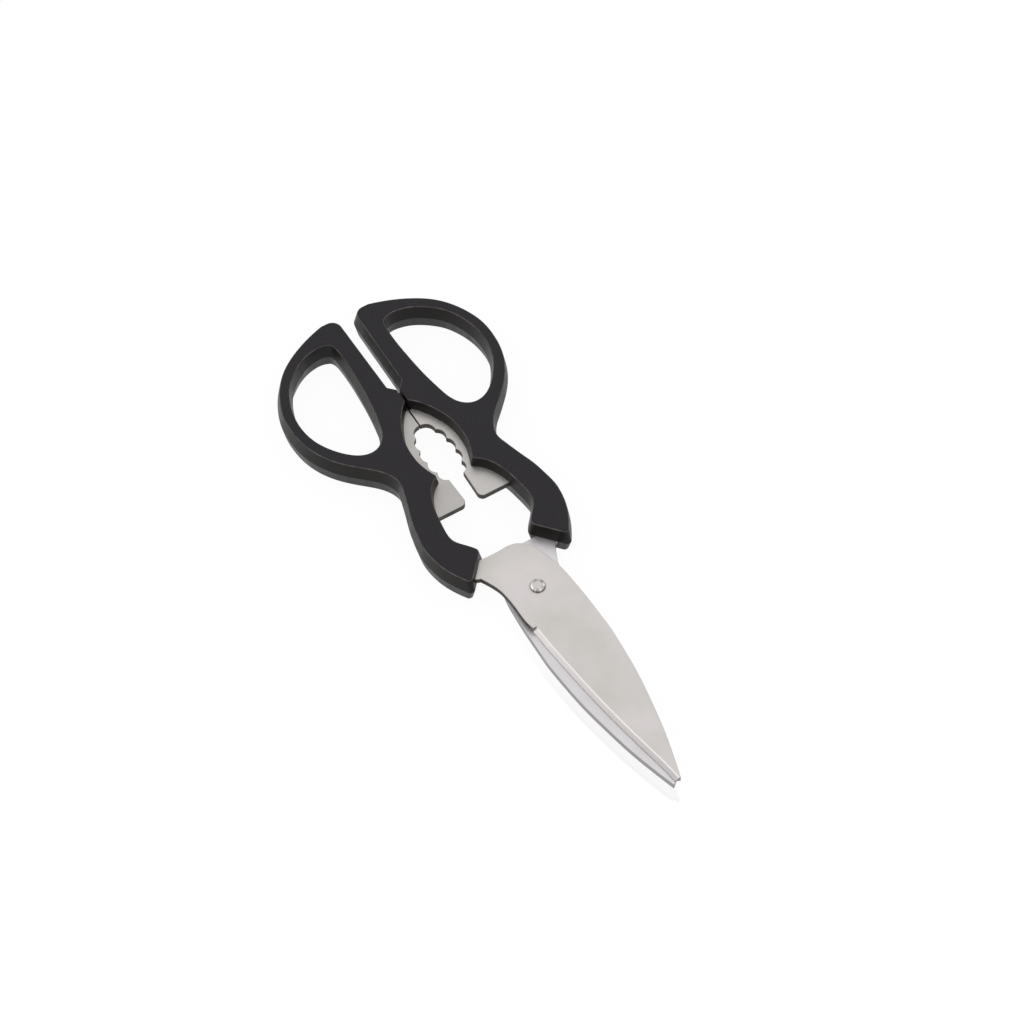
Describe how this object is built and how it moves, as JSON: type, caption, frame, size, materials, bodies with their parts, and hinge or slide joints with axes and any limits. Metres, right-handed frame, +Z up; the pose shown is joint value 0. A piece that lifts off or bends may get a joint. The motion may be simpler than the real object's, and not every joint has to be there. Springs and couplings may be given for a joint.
{
  "type": "kitchen shears",
  "caption": "Riveted steel kitchen shears with looped plastic handles, a toothed nutcracker and cap lifter tabs between the handles.",
  "frame": {"origin": "under the middle of the closed shears, on the surface that they lie on", "axes": "+Y along the closed blades to the tips, +Z up through the flat of the handles, +X towards the handle that carries the upper blade"},
  "size_m": [0.0762, 0.2012, 0.0104],
  "materials": {
    "steel": "satin, ground flat",
    "handle_plastic": "fine moulded grain, black",
    "rivet_steel": "polished"
  },
  "bodies": {
    "lower_half": {"lower_blade": "steel", "lower_handle": "handle_plastic", "pivot_rivet": "rivet_steel", "rivet_washer": "rivet_steel"},
    "upper_half": {"upper_blade": "steel", "upper_handle": "handle_plastic"}
  },
  "joints": [
    {"name": "pivot", "type": "hinge", "parent": "lower_half", "child": "upper_half", "pos_m": [0, 0.0202, 0.0052], "axis": [0, 0, 1], "range_deg": [0, 80]}
  ]
}
